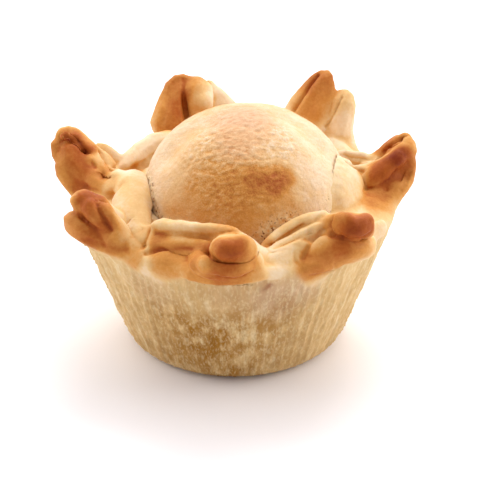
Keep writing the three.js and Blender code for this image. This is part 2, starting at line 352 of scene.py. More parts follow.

# Where the crust has browned, and where the same spots paint the shade of valleys and of dough under
# overhangs: a place, how far round it the browning reaches, and how brown it is there
PALEST_CASE = 0.14
BROWNED_AND_SHADED_CASE = [
    ((231, 237), 4.0, 0.38),
    ((214, 246), 4.0, 0.72),
    ((222, 255), 3.0, 0.84),
    ((244, 254), 3.0, 0.7),
    ((221, 238), 3.0, 0.48),
    ((243, 239), 3.0, 0.46),
    ((248, 247), 4.0, 0.5),
    ((233, 252), 4.0, 1.0),
    ((203, 258), 3.5, 0.64),
    ((129, 232), 3.5, 0.16),
    ((138, 168), 2.0, 0.6),
    ((226, 268), 4.0, 0.82),
    ((207, 265), 3.5, 0.6),
    ((200, 263), 3.0, 0.66),
    ((248, 264), 3.5, 0.72),
    ((222, 279), 4.5, 0.8),
    ((197, 275), 4.5, 0.58),
    ((240, 279), 3.5, 0.68),
    ((256, 275), 4.0, 0.5),
    ((272, 264), 4.0, 0.16),
    ((262, 254), 2.5, 0.1),
    ((353, 227), 4.5, 1.06),
    ((335, 222), 4.5, 0.62),
    ((371, 224), 3.5, 0.92),
    ((352, 213), 3.0, 0.66),
    ((355, 245), 4.0, 0.76),
    ((344, 250), 3.5, 0.92),
    ((330, 254), 3.5, 0.78),
    ((346, 256), 3.5, 0.56),
    ((336, 247), 4.0, 0.78),
    ((368, 243), 4.0, 0.46),
    ((338, 261), 3.0, 0.5),
    ((320, 245), 2.5, 0.34),
    ((325, 263), 4.0, 0.64),
    ((312, 268), 4.0, 0.72),
    ((314, 257), 3.0, 0.68),
    ((303, 262), 3.5, 0.7),
    ((304, 249), 3.0, 0.44),
    ((292, 258), 4.0, 0.22),
    ((380, 228), 3.0, 0.2),
    ((395, 163), 3.5, 1.12),
    ((379, 172), 4.0, 0.9),
    ((405, 155), 3.5, 1.0),
    ((400, 178), 4.5, 0.7),
    ((408, 143), 3.0, 0.5),
    ((411, 165), 3.0, 0.66),
    ((384, 190), 4.0, 0.6),
    ((396, 190), 4.0, 0.66),
    ((378, 203), 5.0, 0.66),
    ((390, 139), 4.0, 0.74),
    ((401, 135), 3.0, 0.6),
    ((386, 146), 3.0, 0.8),
    ((362, 176), 3.5, 0.3),
    ((345, 195), 7.0, 0.2),
    ((318, 84), 4.0, 0.8),
    ((314, 106), 5.0, 0.62),
    ((326, 92), 4.0, 0.62),
    ((303, 95), 3.5, 0.5),
    ((338, 104), 4.0, 0.36),
    ((350, 108), 4.0, 0.26),
    ((342, 128), 6.0, 0.1),
    ((166, 98), 5.0, 0.56),
    ((178, 100), 3.0, 0.86),
    ((178, 82), 4.0, 0.64),
    ((165, 118), 5.0, 0.62),
    ((180, 121), 3.5, 0.78),
    ((178, 112), 4.0, 0.8),
    ((185, 95), 2.5, 0.8),
    ((198, 92), 4.0, 0.36),
    ((192, 112), 3.0, 0.5),
    ((218, 97), 6.0, 0.1),
    ((72, 134), 3.5, 0.9),
    ((64, 145), 3.5, 0.8),
    ((60, 165), 4.5, 0.62),
    ((84, 152), 3.5, 0.92),
    ((75, 158), 4.5, 0.84),
    ((86, 174), 4.5, 0.82),
    ((72, 182), 4.0, 0.62),
    ((98, 179), 3.5, 0.62),
    ((112, 183), 3.0, 0.4),
    ((97, 165), 3.0, 0.45),
    ((112, 158), 4.0, 0.4),
    ((140, 150), 6.0, 0.12),
    ((90, 197), 4.5, 0.9),
    ((98, 212), 4.0, 0.74),
    ((84, 212), 4.0, 0.86),
    ((73, 220), 4.0, 0.6),
    ((106, 226), 3.5, 0.84),
    ((92, 237), 4.5, 0.8),
    ((116, 232), 3.0, 0.5),
    ((115, 247), 3.5, 0.7),
    ((133, 257), 3.0, 0.54),
    ((138, 190), 5.0, 0.3),
    ((140, 215), 5.0, 0.34),
    ((136, 240), 4.0, 0.4),
    ((197, 225), 3.0, 0.2),
    ((167, 224), 3.0, 0.28),
    ((229, 229), 3.0, 0.52),
    ((186, 234), 3.5, 0.22),
    ((205, 237), 3.5, 0.4),
    ((163, 247), 3.0, 0.62),
    ((159, 238), 3.0, 0.7),
    ((182, 243), 3.0, 0.8),
    ((203, 245), 3.0, 0.88),
    ((263, 243), 2.5, 0.5),
    ((188, 248), 3.5, 0.56),
    ((190, 258), 4.0, 0.6),
    ((168, 262), 4.5, 0.6),
    ((284, 229), 3.0, 0.32),
    ((301, 219), 3.0, 0.3),
    ((298, 230), 3.0, 0.24),
    ((285, 250), 4.0, 0.16),
    ((46, 6, 43), 6.0, 0.7),
    ((24, 38, 50), 8.0, 0.74),
    ((-14, 41, 49), 8.0, 0.74),
    ((5, 41, 42), 7.0, 0.42),
    ((38, 22, 42), 7.0, 0.44),
    ((-36, 24, 42), 7.0, 0.44),
    ((-46, -8, 41), 6.0, 0.44),
    ((45, -8, 41), 6.0, 0.4),
    ((-46, 9, 44), 6.0, 0.7),
    ((-40, -24, 43), 6.0, 0.66),
]
# On the lid the browned spots also paint the shade that falls on its lower front
PALEST_LID = 0.12
BROWNED_AND_SHADED_LID = [
    ((271, 179), 5.5, 0.82),
    ((256, 183), 5.0, 0.7),
    ((288, 180), 3.0, 0.6),
    ((243, 181), 5.5, 0.6),
    ((224, 187), 7.0, 0.6),
    ((203, 184), 6.0, 0.52),
    ((208, 166), 6.0, 0.36),
    ((240, 158), 6.0, 0.42),
    ((268, 156), 6.0, 0.22),
    ((182, 200), 6.0, 0.46),
    ((176, 182), 6.0, 0.28),
    ((163, 190), 5.0, 0.16),
    ((214, 208), 7.0, 0.5),
    ((245, 212), 7.0, 0.54),
    ((266, 206), 5.0, 0.46),
    ((288, 206), 5.0, 0.48),
    ((258, 232), 5.0, 0.46),
    ((306, 188), 5.0, 0.2),
    ((320, 170), 6.0, 0.1),
    ((235, 138), 7.0, 0.38),
    ((248, 116), 8.0, 0.32),
    ((300, 135), 7.0, 0.14),
    ((302, 153), 5.0, 0.18),
    ((190, 140), 7.0, 0.26),
    ((-8, 15, 57), 8.0, 0.44),
    ((12, 18, 55), 8.0, 0.4),
    ((2, 23, 50), 8.0, 0.52),
]

# Where the lid is tinged a rosy tan, and where it is finely wrinkled
ROSY_LID = [
    ((245, 116), 8.0, 0.6),
    ((240, 138), 6.0, 0.3),
]
SMOOTHEST_LID = 0.35
WRINKLED_LID = [
    ((245, 118), 8.0, 0.9),
    ((208, 136), 6.0, 1.0),
    ((274, 138), 6.0, 0.9),
    ((238, 148), 7.0, 1.0),
    ((215, 168), 7.0, 1.0),
    ((255, 172), 7.0, 0.8),
    ((225, 190), 6.0, 0.9),
]

# Where the wall is tinged a greyish pink, and where gravy stained it
BLUSHED_WALL = [
    ((275, 299), 7.0, 0.7),
    ((298, 292), 6.0, 0.6),
    ((232, 297), 6.0, 0.3),
    ((150, 290), 6.0, 0.3),
]
STAINED_WALL = [
    ((267, 288), 1.0, 0.85),
    ((263, 292), 0.9, 0.7),
]

# Where the ochre of the wall shows: azimuth, degrees to each side, and how strongly
OCHRE_SIDES = [(-98, 34, 0.85), (85, 45, 0.35)]

# The ochre elsewhere, the heights over which it fades, how ragged that is, what share fades, and how
# uneven it is; fading upwards, it also paints the shade of the lower wall near the table
OCHRE_LEAST = 0.2
OCHRE_FADES = (21, 33)
OCHRE_RAGGED = 5
OCHRE_FADED = 0.8
OCHRE_UNEVEN = 0.3


def srgb(text):
    """A hex colour as the linear red, green and blue that Blender mixes."""
    parts = [int(text[i : i + 2], 16) / 255 for i in (1, 3, 5)]
    return tuple(p / 12.92 if p <= 0.04045 else ((p + 0.055) / 1.055) ** 2.4 for p in parts)


def colour(name, description, text):
    """A colour that the user of the panel can change."""
    return bpy.props.FloatVectorProperty(
        name=name, description=description, subtype="COLOR", size=3, min=0, max=1, default=srgb(text)
    )


def length(name, description, millimetres):
    """A length that the user of the panel can change."""
    return bpy.props.FloatProperty(
        name=name, description=description, unit="LENGTH", min=0, precision=5, default=millimetres * MM
    )


class PieShape(bpy.types.PropertyGroup):
    """Sizes of the crust's relief."""

    grain: length("Grain", "Edge of the facets that the case is modelled with", 0.42)
    lid_grain: length("Lid grain", "Edge of the facets that the lid is modelled with", 0.3)
    flute_depth: length("Flute depth", "Depth of the fine flutes that the paper left in the wall", 0.36)
    flute_pitch: length("Flute pitch", "Distance between the fine flutes", 2.1)
    crackle_depth: length("Crackle depth", "Depth of the wrinkles in the browned top of the lid", 0.24)
    wobble: length("Wobble", "How far the hand-shaped dough strays from an even surface", 0.3)


class PieColours(bpy.types.PropertyGroup):
    """Colours of the crust, from the palest dough to the darkest edge."""

    pale: colour("Pale dough", "Dough that the oven only dried", "#e9d4b6")
    golden: colour("Golden crust", "Dough that has begun to colour", "#deb67c")
    amber: colour("Amber crust", "Dough that has coloured through", "#cc8b42")
    brown: colour("Browned crust", "Dough that has browned", "#a8571d")
    dark: colour("Dark crust", "Edges that caught the most heat", "#7b2c08")
    lid_pale: colour("Pale lid", "The rim of the lid, hardly coloured", "#e9d3b6")
    lid_tan: colour("Tan lid", "The top of the lid where it has begun to colour", "#dcb17c")
    lid_rose: colour("Rosy lid", "The pinkish tinge on the top of the lid", "#d6aa90")
    # Also painted shade: the lid's lower front takes this colour for the shade that falls there
    lid_amber: colour("Amber lid", "The front of the lid, coloured through", "#c8883f")
    lid_brown: colour("Browned lid", "The patch that caught the most heat", "#a45424")
    wall: colour("Wall", "The wall that the paper case kept pale", "#d9b67e")
    # Also painted shade: this colour, strongest low on the wall, darkens the part near the table
    ochre: colour("Ochre patches", "Fat and heat showing through the wall", "#9c6a20")
    blush: colour("Blush", "The greyish-pink tinge near the top of the wall", "#bf9c82")
    # Pale lines of the paper's pleats, and also a painted highlight on the ridges of the flutes
    streak_and_ridge_highlight: colour("Streaks", "The pale lines that the pleats of the paper left", "#ead6aa")
    stain: colour("Stain", "Gravy that ran down the wall", "#935434")
    # Painted shade: the dark colour at the bottom of the slits and seams
    crease: colour("Creases", "The bottom of the slits and seams", "#6a2c10")
    flour: colour("Flour", "Flour left along the seam", "#e0c89c")
    speck: colour("Specks", "Crumbs that scorched along the seam", "#7a3d18")
    table: colour("Table", "The white table top", "#f9f6f6")
    table_cloud: colour("Table cloud", "The faint unevenness of the table's white", "#f4f1f1")


class PieSettings(bpy.types.PropertyGroup):
    """Everything that the panel shows."""

    shape: bpy.props.PointerProperty(type=PieShape)
    colours: bpy.props.PointerProperty(type=PieColours)


def activate(piece):
    """Leaves one object selected and active."""
    bpy.ops.object.select_all(action="DESELECT")
    piece.select_set(True)
    bpy.context.view_layer.objects.active = piece


def apply_modifier(piece, kind, **settings):
    """Adds a modifier with these settings and applies it."""
    activate(piece)
    modifier = piece.modifiers.new(kind.title(), kind)
    for name, value in settings.items():
        setattr(modifier, name, value)
    bpy.ops.object.modifier_apply(modifier=modifier.name)


def dough_from(node, name):
    """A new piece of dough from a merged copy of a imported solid."""
    piece = bpy.data.objects.new(name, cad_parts[node].data.copy())
    bpy.context.scene.collection.objects.link(piece)
    piece.data.materials.clear()
    activate(piece)
    bpy.ops.object.mode_set(mode="EDIT")
    bpy.ops.mesh.select_all(action="SELECT")
    bpy.ops.mesh.remove_doubles(threshold=MERGED_WITHIN * MM)
    bpy.ops.object.mode_set(mode="OBJECT")
    return piece


def soften(piece, grain, passes):
    """Rounds the facets and joins of a solid, as in dough."""
    apply_modifier(piece, "REMESH", mode="VOXEL", voxel_size=grain)
    apply_modifier(piece, "SMOOTH", factor=0.5, iterations=passes)


def lighten(piece):
    """Thins the mesh where it is plain, to stay under the limit of triangles."""
    triangles = sum(len(p.vertices) - 2 for p in piece.data.polygons)
    if triangles > MOST_TRIANGLES:
        apply_modifier(piece, "DECIMATE", ratio=MOST_TRIANGLES / triangles)


def finish_crust(piece, material, node):
    """Smooths the shading of a finished piece, coats it and has it stand for its solid."""
    activate(piece)
    bpy.ops.object.shade_smooth()
    piece.data.materials.append(material)
    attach(piece, "root")
    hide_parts(node)


def places(piece):
    """The piece's vertices in millimetres."""
    flat = np.empty(len(piece.data.vertices) * 3)
    piece.data.vertices.foreach_get("co", flat)
    return flat.reshape(-1, 3) / MM


def move_to(piece, points):
    """Puts the piece's vertices at these places, in millimetres."""
    piece.data.vertices.foreach_set("co", (points * MM).astype(np.float32).ravel())
    piece.data.update()


def outward(piece):
    """The direction that the surface faces at each vertex."""
    flat = np.empty(len(piece.data.vertices) * 3, np.float32)
    piece.data.vertex_normals.foreach_get("vector", flat)
    return flat.reshape(-1, 3).astype(float)


def mark(piece, name, values):
    """Stores one number for each vertex for the material to read."""
    attribute = piece.data.attributes.new(name, "FLOAT", "POINT")
    attribute.data.foreach_set("value", np.clip(values, 0, 1).astype(np.float32))


def lumps(points, size):
    """Smooth unevenness from about -1 to 1 at each point, in lumps of about this size."""
    return np.array([noise.noise(p) for p in (points / size).tolist()])


def ease(values, low, high):
    """0 below the first bound, 1 above the second, and a smooth step between them."""
    t = np.clip((values - low) / (high - low), 0, 1)
    return t * t * (3 - 2 * t)


def azimuths(points):
    """The direction of each point from the middle of the pie, in degrees."""
    return np.degrees(np.arctan2(points[:, 1], points[:, 0]))


def degrees_from(points, azimuth):
    """How many degrees each point lies to either side of an azimuth."""
    return np.abs((azimuths(points) - azimuth + 540) % 360 - 180)


def surface_of(piece):
    """The piece's surface in millimetres, for lines of sight and for its nearest places."""
    return BVHTree.FromPolygons(places(piece).tolist(), [p.vertices[:] for p in piece.data.polygons])


def laid_on(surface, place):
    """A place as it is, or a pixel of the photograph followed from the camera to the dough."""
    if len(place) == 3:
        return np.array(place, float)
    tilt = math.radians(CAMERA_ELEVATION)
    forward = Vector((0, math.cos(tilt), -math.sin(tilt)))
    upward = Vector((0, math.sin(tilt), math.cos(tilt)))
    focal = CAMERA_LENS / CAMERA_SENSOR * PHOTO_SIDE
    across = Vector(((place[0] - PHOTO_SIDE / 2) / focal, 0, 0))
    sight = forward + across + upward * ((PHOTO_SIDE / 2 - place[1]) / focal)
    hit = surface.ray_cast(Vector(CAMERA_AIM) - forward * CAMERA_AWAY, sight)[0]
    if hit is None:
        raise RuntimeError(f"no dough at pixel {place} of the photograph")
    return np.array(hit)


def line_through(start, middle, end):
    """Places along a smooth curve through three places."""
    start, middle, end = (np.array(place, float) for place in (start, middle, end))
    bend = 2 * middle - (start + end) / 2
    t = np.linspace(0, 1, LINE_STEPS + 1)[:, None]
    return (1 - t) ** 2 * start + 2 * t * (1 - t) * bend + t**2 * end


def strokes_on(surface, groups):
    """Strokes as half width, height and a line of places on the dough."""
    strokes = []
    for half_width, height, *through in itertools.chain(*groups.values()):
        if any(len(place) == 3 for place in through):
            through = [laid_on(surface, place) for place in through]
        line = [laid_on(surface, place) for place in line_through(*through)]
        strokes.append((half_width, height, np.array(line)))
    return strokes


def spots_on(surface, spots):
    """Spots with their places laid on the dough."""
    return [(laid_on(surface, place), reach, amount) for place, reach, amount in spots]


def strength(points, least, spots):
    """How strong a list of spots is at each point, blended between them, their edges ragged."""
    stray = np.column_stack([lumps(points + shift, SPOT_LUMPS) for shift in SPOT_SHIFTS])
    strayed = points + SPOT_STRAY * stray
    weights = np.full(len(points), SPOT_BASE)
    sums = weights * least
    for place, reach, amount in spots:
        weight = SPOT_BASE ** ((np.linalg.norm(strayed - place, axis=1) / reach) ** 2)
        weights += weight
        sums += weight * amount
    return sums / weights


def distance_to(points, line):
    """Distance of each point from a line of places, without the steps that leap between folds."""
    nearest = np.full(len(points), np.inf)
    for a, b in zip(line[:-1], line[1:]):
        span = b - a
        if np.linalg.norm(span) < LONGEST_STEP:
            t = np.clip((points - a) @ span / (span @ span), 0, 1)
            nearest = np.minimum(nearest, np.linalg.norm(points - a - t[:, None] * span, axis=1))
    return nearest


def near_stroke(points, half_width, line):
    """Which points are near a stroke, and how many half widths each of them is from its line."""
    reach = STROKE_REACH * half_width
    inside = (points > line.min(axis=0) - reach) & (points < line.max(axis=0) + reach)
    index = np.nonzero(inside.all(axis=1))[0]
    return index, distance_to(points[index], line) / half_width


def swollen(points, facing, forms):
    """The points with the broad forms raised or sunk."""
    moved = points.copy()
    for half_width, height, line in forms:
        index, away = near_stroke(points, half_width, line)
        moved[index] += facing[index] * (height * np.exp(-(away**2)))[:, None]
    return moved


def creased(points, facing, creases):
    """The points with the creases pressed in."""
    moved = points.copy()
    for half_width, depth, line in creases:
        index, away = near_stroke(points, half_width, line)
        near = np.clip(1 - away / CREASE_SPREAD, 0, 1)
        moved[index] -= facing[index] * (depth * near**CREASE_CURVE)[:, None]
    return moved


def crease_shade(points, creases):
    """How deep in a crease each point is, from 0 to 1."""
    shade = np.zeros(len(points))
    for half_width, depth, line in creases:
        index, away = near_stroke(points, half_width, line)
        near = np.clip(1 - away, 0, 1) ** SHADE_CURVE * min(1, SHADE_BY_DEPTH * depth)
        shade[index] = np.maximum(shade[index], near)
    return shade


def averaged(piece, passes):
    """The piece's vertices, each drawn to the middle of its neighbours a number of times."""
    ends = np.empty(len(piece.data.edges) * 2, np.int32)
    piece.data.edges.foreach_get("vertices", ends)
    first, second = ends.reshape(-1, 2).T
    points = places(piece)
    many = len(points)
    neighbours = np.bincount(ends, minlength=many)[:, None]
    for _ in range(passes):
        sums = [
            np.bincount(first, along[second], many) + np.bincount(second, along[first], many)
            for along in points.T
        ]
        points = np.column_stack(sums) / neighbours
    return points


def hollowness(piece, passes):
    """How far each vertex lies below the smoothed surface round it, in millimetres."""
    return np.einsum("ij,ij->i", averaged(piece, passes) - places(piece), outward(piece))


def worked(piece, spots):
    """The piece's vertices with the dough smoothed round some spots."""
    points = places(piece)
    return points + (averaged(piece, WORKED_PASSES) - points) * strength(points, 0, spots)[:, None]


def gap_to(surface, points):
    """Distance of each point from a surface, and the way to it."""
    nearest = np.array([surface.find_nearest(p)[0] for p in points.tolist()])
    return np.linalg.norm(nearest - points, axis=1), nearest - points


def closed_over(points):
    """How far the dough of the case has closed over the seam, from 0 to 1: on the right only."""
    return ease(points[:, 0], *CLOSED_X) * ease(points[:, 2], *CLOSED_Z)


def drawn_over_seam(points, lid):
    """The points drawn up to the lid along the seam, a little past it where the dough closed over."""
    gap, way = gap_to(lid, points)
    near = 1 - ease(gap, *SEAM_GAP)
    return points + way * (near * (DRAWN + DRAWN_CLOSED * closed_over(points)))[:, None]


def edge_of_crown(points):
    """The height at which the crust of the crown gives way to the wall, at each point's azimuth."""
    edge = np.full(len(points), float(EDGE_HEIGHT))
    for azimuth, height, spread in EDGE_HEIGHTS:
        edge += (height - edge) * np.exp(-((degrees_from(points, azimuth) / spread) ** EDGE_BLUNT))
    return edge


def around_wall(points):
    """Points laid on a cylinder, so that a pattern runs up and down the tapered wall."""
    radius = np.hypot(points[:, 0], points[:, 1])[:, None] + TINY
    return np.column_stack([points[:, :2] / radius * WALL_RADIUS, points[:, 2]])


def shrunk(points, factor):
    """Points with their heights shrunk, so that lumps read at them stand upright."""
    return points * np.array([1, 1, factor])


def on_the_wall(points, facing, blend):
    """How far each point is on the outside of the wall or on the base, from 0 to 1, blended upwards."""
    edge = edge_of_crown(points) + EDGE_RAGGED * lumps(around_wall(points), size=4)
    radius = np.hypot(points[:, 0], points[:, 1]) + TINY
    outside = (facing[:, :2] * points[:, :2]).sum(axis=1) / radius
    turned_out = np.maximum(ease(outside, *OUTSIDE_LEAN), ease(-facing[:, 2], *BASE_LEAN))
    return turned_out * (1 - ease(points[:, 2], edge - blend, edge + blend))


def flutes(points, pitch):
    """The fine flutes of the wall at each point, from -1 between two ridges to 1 on a sharp ridge."""
    on_wall = around_wall(points)
    drift = lumps(shrunk(on_wall, 0.35), size=9)
    turns = np.radians(azimuths(points)) * WALL_RADIUS / pitch + FLUTE_DRIFT * drift
    marked = FLUTE_MARKED + FLUTE_MARKED * lumps(shrunk(on_wall, 0.5) + 50, size=6)
    ridges = 1 - 2 * np.abs(np.sin(turns * math.pi)) ** FLUTE_SHARP
    return ridges * np.clip(marked, FLUTE_LEAST, 1)


def wall_and_hand(points, facing, shape):
    """The points with the wall fluted and crinkled, the crown uneven and the base flat."""
    wall = on_the_wall(points, facing, FLUTE_BLEND)
    crinkle = lumps(shrunk(around_wall(points), 0.45), size=1.1)
    fluted = flutes(points, shape.flute_pitch / MM) + CRINKLED * crinkle
    fluted = shape.flute_depth / MM * fluted * ease(points[:, 2], *FLUTES_BEGIN)
    hand = lumps(points, size=7) + 0.5 * lumps(points + 30, size=3.2) + 0.25 * lumps(points, size=1.4)
    hand = shape.wobble / MM * hand * ease(points[:, 2], *HAND_BEGINS)
    moved = points + facing * (wall * fluted + (1 - wall) * hand)[:, None]
    moved[moved[:, 2] < FLAT_BELOW, 2] = 0
    return moved


def wrinkled(points):
    """The wrinkles of the lid: pebbles, threads that run across it, and broad lumps under them."""
    threads = lumps(points * np.array([0.5, 1, 1]) + 9, size=0.8)
    return lumps(points, size=1.3) + 0.8 * threads + 0.7 * lumps(points, size=3)


def ochre_of_wall(points):
    """How strongly the ochre shows on the wall: most at the front, some behind, fading upwards, so that
    low down it also paints shade.
    """
    on_wall = around_wall(points)
    fading = ease(points[:, 2] + OCHRE_RAGGED * lumps(on_wall, size=7), *OCHRE_FADES)
    shown = OCHRE_LEAST + sum(
        amount * np.exp(-((degrees_from(points, side) / spread) ** 2))
        for side, spread, amount in OCHRE_SIDES
    )
    return (1 - OCHRE_FADED * fading) * shown * (1 + OCHRE_UNEVEN * lumps(on_wall, size=9))


def add_node(tree, kind, inputs=(), **settings):
    """Adds a node with its settings, and sets or links its inputs."""
    node = tree.nodes.new(kind)
    for name, value in settings.items():
        setattr(node, name, value)
    for name, value in dict(inputs).items():
        if isinstance(value, bpy.types.NodeSocket):
            tree.links.new(value, node.inputs[name])
        else:
            node.inputs[name].default_value = value
    return node


def mix(tree, factor, first, second):
    """Two colours mixed by a factor."""
    node = add_node(tree, "ShaderNodeMix", {0: factor, 6: first, 7: second}, data_type="RGBA")
    return node.outputs[2]


def new_material(name):
    """An empty material, its node tree and the coordinates of the object."""
    material = bpy.data.materials.new(name)
    material.use_nodes = True
    tree = material.node_tree
    tree.nodes.clear()
    return material, tree, add_node(tree, "ShaderNodeTexCoord").outputs["Object"]


def opaque(values):
    """A colour property with its alpha."""
    return (*values, 1.0)


def crust_ramp(tree, factor, colours):
    """A ramp through evenly spaced colours, from the palest to the darkest."""
    node = add_node(tree, "ShaderNodeValToRGB", {"Fac": factor})
    elements = node.color_ramp.elements
    while len(elements) < len(colours):
        elements.new(0.5)
    for i, (element, value) in enumerate(zip(elements, colours)):
        element.position = i / (len(colours) - 1)
        element.color = opaque(value)
    return node.outputs["Color"]


def noise_at(tree, where, millimetres, detail, roughness=0.5):
    """A procedural noise with lumps of about this size, from 0 to 1."""
    settings = {"Scale": 1 / (millimetres * MM), "Detail": detail, "Roughness": roughness}
    return add_node(tree, "ShaderNodeTexNoise", {"Vector": where, **settings}).outputs["Fac"]


def stepped(tree, value, low, high):
    """A smooth step from 0 at the low value to 1 at the high one."""
    settings = {"Value": value, "From Min": low, "From Max": high}
    node = add_node(tree, "ShaderNodeMapRange", settings, interpolation_type="SMOOTHSTEP")
    return node.outputs[0]


def reckon(tree, operation, *values):
    """One sum on up to three values."""
    return add_node(tree, "ShaderNodeMath", dict(enumerate(values)), operation=operation).outputs[0]


def vertex_mark(tree, name):
    """A number stored at the vertices."""
    return add_node(tree, "ShaderNodeAttribute", attribute_name=name).outputs["Fac"]


def mottled(tree, where, value, millimetres, amount):
    """A value made uneven by this much in lumps of about this size."""
    lump = noise_at(tree, where, millimetres, detail=4.0, roughness=0.6)
    lump = reckon(tree, "SUBTRACT", lump, 0.5)
    return reckon(tree, "MULTIPLY_ADD", lump, amount, value)


def wrapped(tree, where, upright):
    """Coordinates wrapped round the wall, heights shrunk so that a pattern stands upright."""
    kind = "ShaderNodeVectorMath"
    split = add_node(tree, "ShaderNodeSeparateXYZ", {0: where}).outputs
    flat = add_node(tree, "ShaderNodeCombineXYZ", {0: split[0], 1: split[1]}).outputs[0]
    ring = add_node(tree, kind, {0: flat}, operation="NORMALIZE").outputs[0]
    ring = add_node(tree, kind, {0: ring, 3: WALL_RADIUS * MM}, operation="SCALE").outputs[0]
    rise = reckon(tree, "MULTIPLY", split[2], upright)
    rise = add_node(tree, "ShaderNodeCombineXYZ", {2: rise}).outputs[0]
    return add_node(tree, kind, {0: ring, 1: rise}, operation="ADD").outputs[0]


def crust_surface(tree, where, tint, roughened):
    """Dry dough from the oven: matt, a little light passing into it, roughened by the grain of the
    flour.

    The grain is drawn 0.6 mm wide and 0.3 mm high, coarser than the real one, so that it shows.
    """
    grain = noise_at(tree, where, millimetres=0.6, detail=4.0, roughness=0.6)
    relief = {"Strength": roughened, "Distance": 0.3 * MM, "Height": grain}
    bump = add_node(tree, "ShaderNodeBump", relief)
    surface = add_node(
        tree,
        "ShaderNodeBsdfPrincipled",
        {
            "Base Color": tint,
            "Roughness": 0.55,
            "IOR": 1.45,
            "Specular IOR Level": 0.15,
            "Subsurface Weight": 0.1,
            "Subsurface Radius": (1.0, 0.45, 0.2),
            "Subsurface Scale": 1 * MM,
            "Normal": bump.outputs[0],
        },
    )
    add_node(tree, "ShaderNodeOutputMaterial", {"Surface": surface.outputs[0]})


def wall_tint(tree, where, colours):
    """The pale wall: ochre blotches of about 3 mm, partly painted shade, pale streaks and dashes,
    painted ridge highlights, a blush and a stain.
    """
    streaks = wrapped(tree, where, upright=0.2)
    streaks = noise_at(tree, streaks, millimetres=1.5, detail=3.0, roughness=0.55)
    blotches = noise_at(tree, wrapped(tree, where, upright=0.8), millimetres=3.2, detail=2.0)
    broken = reckon(tree, "MULTIPLY_ADD", streaks, -0.3, blotches)
    broken = mottled(tree, wrapped(tree, where, upright=0.6), broken, millimetres=0.5, amount=0.5)
    # The ochre mark is partly real patches and partly painted shade, strongest low on the wall
    ochre = stepped(tree, broken, low=0.0, high=0.5)
    ochre = reckon(tree, "MULTIPLY", ochre, vertex_mark(tree, "ochre"))
    lines = reckon(tree, "MULTIPLY", stepped(tree, streaks, low=0.52, high=0.7), 0.6)
    # Painted highlight: the ridges of the flutes take the pale streak colour
    ridges = reckon(tree, "MULTIPLY", vertex_mark(tree, "ridge"), 0.8)
    lines = reckon(tree, "MAXIMUM", lines, ridges)
    dashes = noise_at(tree, wrapped(tree, where, upright=0.45), millimetres=0.55, detail=3.0)
    dashes = reckon(tree, "MULTIPLY", stepped(tree, dashes, low=0.5, high=0.66), 0.32)
    tint = mix(tree, vertex_mark(tree, "blush"), opaque(colours.wall), opaque(colours.blush))
    tint = mix(tree, lines, tint, opaque(colours.streak_and_ridge_highlight))
    tint = mix(tree, ochre, tint, opaque(colours.ochre))
    tint = mix(tree, dashes, tint, opaque(colours.streak_and_ridge_highlight))
    return mix(tree, vertex_mark(tree, "stain"), tint, opaque(colours.stain))


def shortcrust(colours):
    """Hand-shaped shortcrust from the oven: cream to red-brown on the crown, painted shade in creases, a
    pale wall with ochre.
    """
    material, tree, where = new_material("shortcrust_case_baked")
    browning_and_shade = mottled(tree, where, vertex_mark(tree, "browning_and_shade"), millimetres=4.0, amount=0.22)
    browning_and_shade = mottled(tree, where, browning_and_shade, millimetres=0.8, amount=0.2)
    shades = [colours.pale, colours.golden, colours.amber, colours.brown, colours.dark]
    crown = crust_ramp(tree, browning_and_shade, shades)
    body = mix(tree, vertex_mark(tree, "wall"), crown, wall_tint(tree, where, colours))
    # Painted shade: the crease mark darkens the bottoms of the slits and seams
    tint = mix(tree, vertex_mark(tree, "crease"), body, opaque(colours.crease))
    crust_surface(tree, where, tint, roughened=0.4)
    return material


def crackled_lid(colours):
    """A thin lid of shortcrust from the oven: pale at its edge, browned and finely wrinkled on top,
    painted shade in the wrinkles.
    """
    material, tree, where = new_material("shortcrust_lid_baked")
    browning_and_shade = mottled(tree, where, vertex_mark(tree, "browning_and_shade"), millimetres=3.2, amount=0.3)
    rough = reckon(tree, "MULTIPLY", vertex_mark(tree, "rough"), 0.7)
    browning_and_shade = mottled(tree, where, browning_and_shade, millimetres=0.35, amount=rough)
    shades = [colours.lid_pale, colours.lid_tan, colours.lid_amber, colours.lid_brown, colours.dark]
    crust = crust_ramp(tree, browning_and_shade, shades)
    crust = mix(tree, vertex_mark(tree, "rosy"), crust, opaque(colours.lid_rose))
    dusting = noise_at(tree, where, millimetres=0.8, detail=4.0)
    dusting = stepped(tree, dusting, low=0.35, high=0.6)
    dusting = reckon(tree, "MULTIPLY", dusting, vertex_mark(tree, "seam"))
    dusted = mix(tree, dusting, crust, opaque(colours.flour))
    specks = noise_at(tree, where, millimetres=0.7, detail=2.0)
    specks = stepped(tree, specks, low=0.6, high=0.66)
    specks = reckon(tree, "MULTIPLY", specks, vertex_mark(tree, "scorched"))
    tint = mix(tree, specks, dusted, opaque(colours.speck))
    crust_surface(tree, where, tint, roughened=0.8)
    return material


def white_table(colours):
    """A white laminate table top, matt, its white barely uneven over about 300 mm."""
    material, tree, where = new_material("white_laminate_table")
    cloud = noise_at(tree, where, millimetres=300, detail=2.0)
    tint = mix(tree, cloud, opaque(colours.table), opaque(colours.table_cloud))
    surface = add_node(tree, "ShaderNodeBsdfPrincipled", {"Base Color": tint, "Roughness": 0.6})
    add_node(tree, "ShaderNodeOutputMaterial", {"Surface": surface.outputs[0]})
    return material


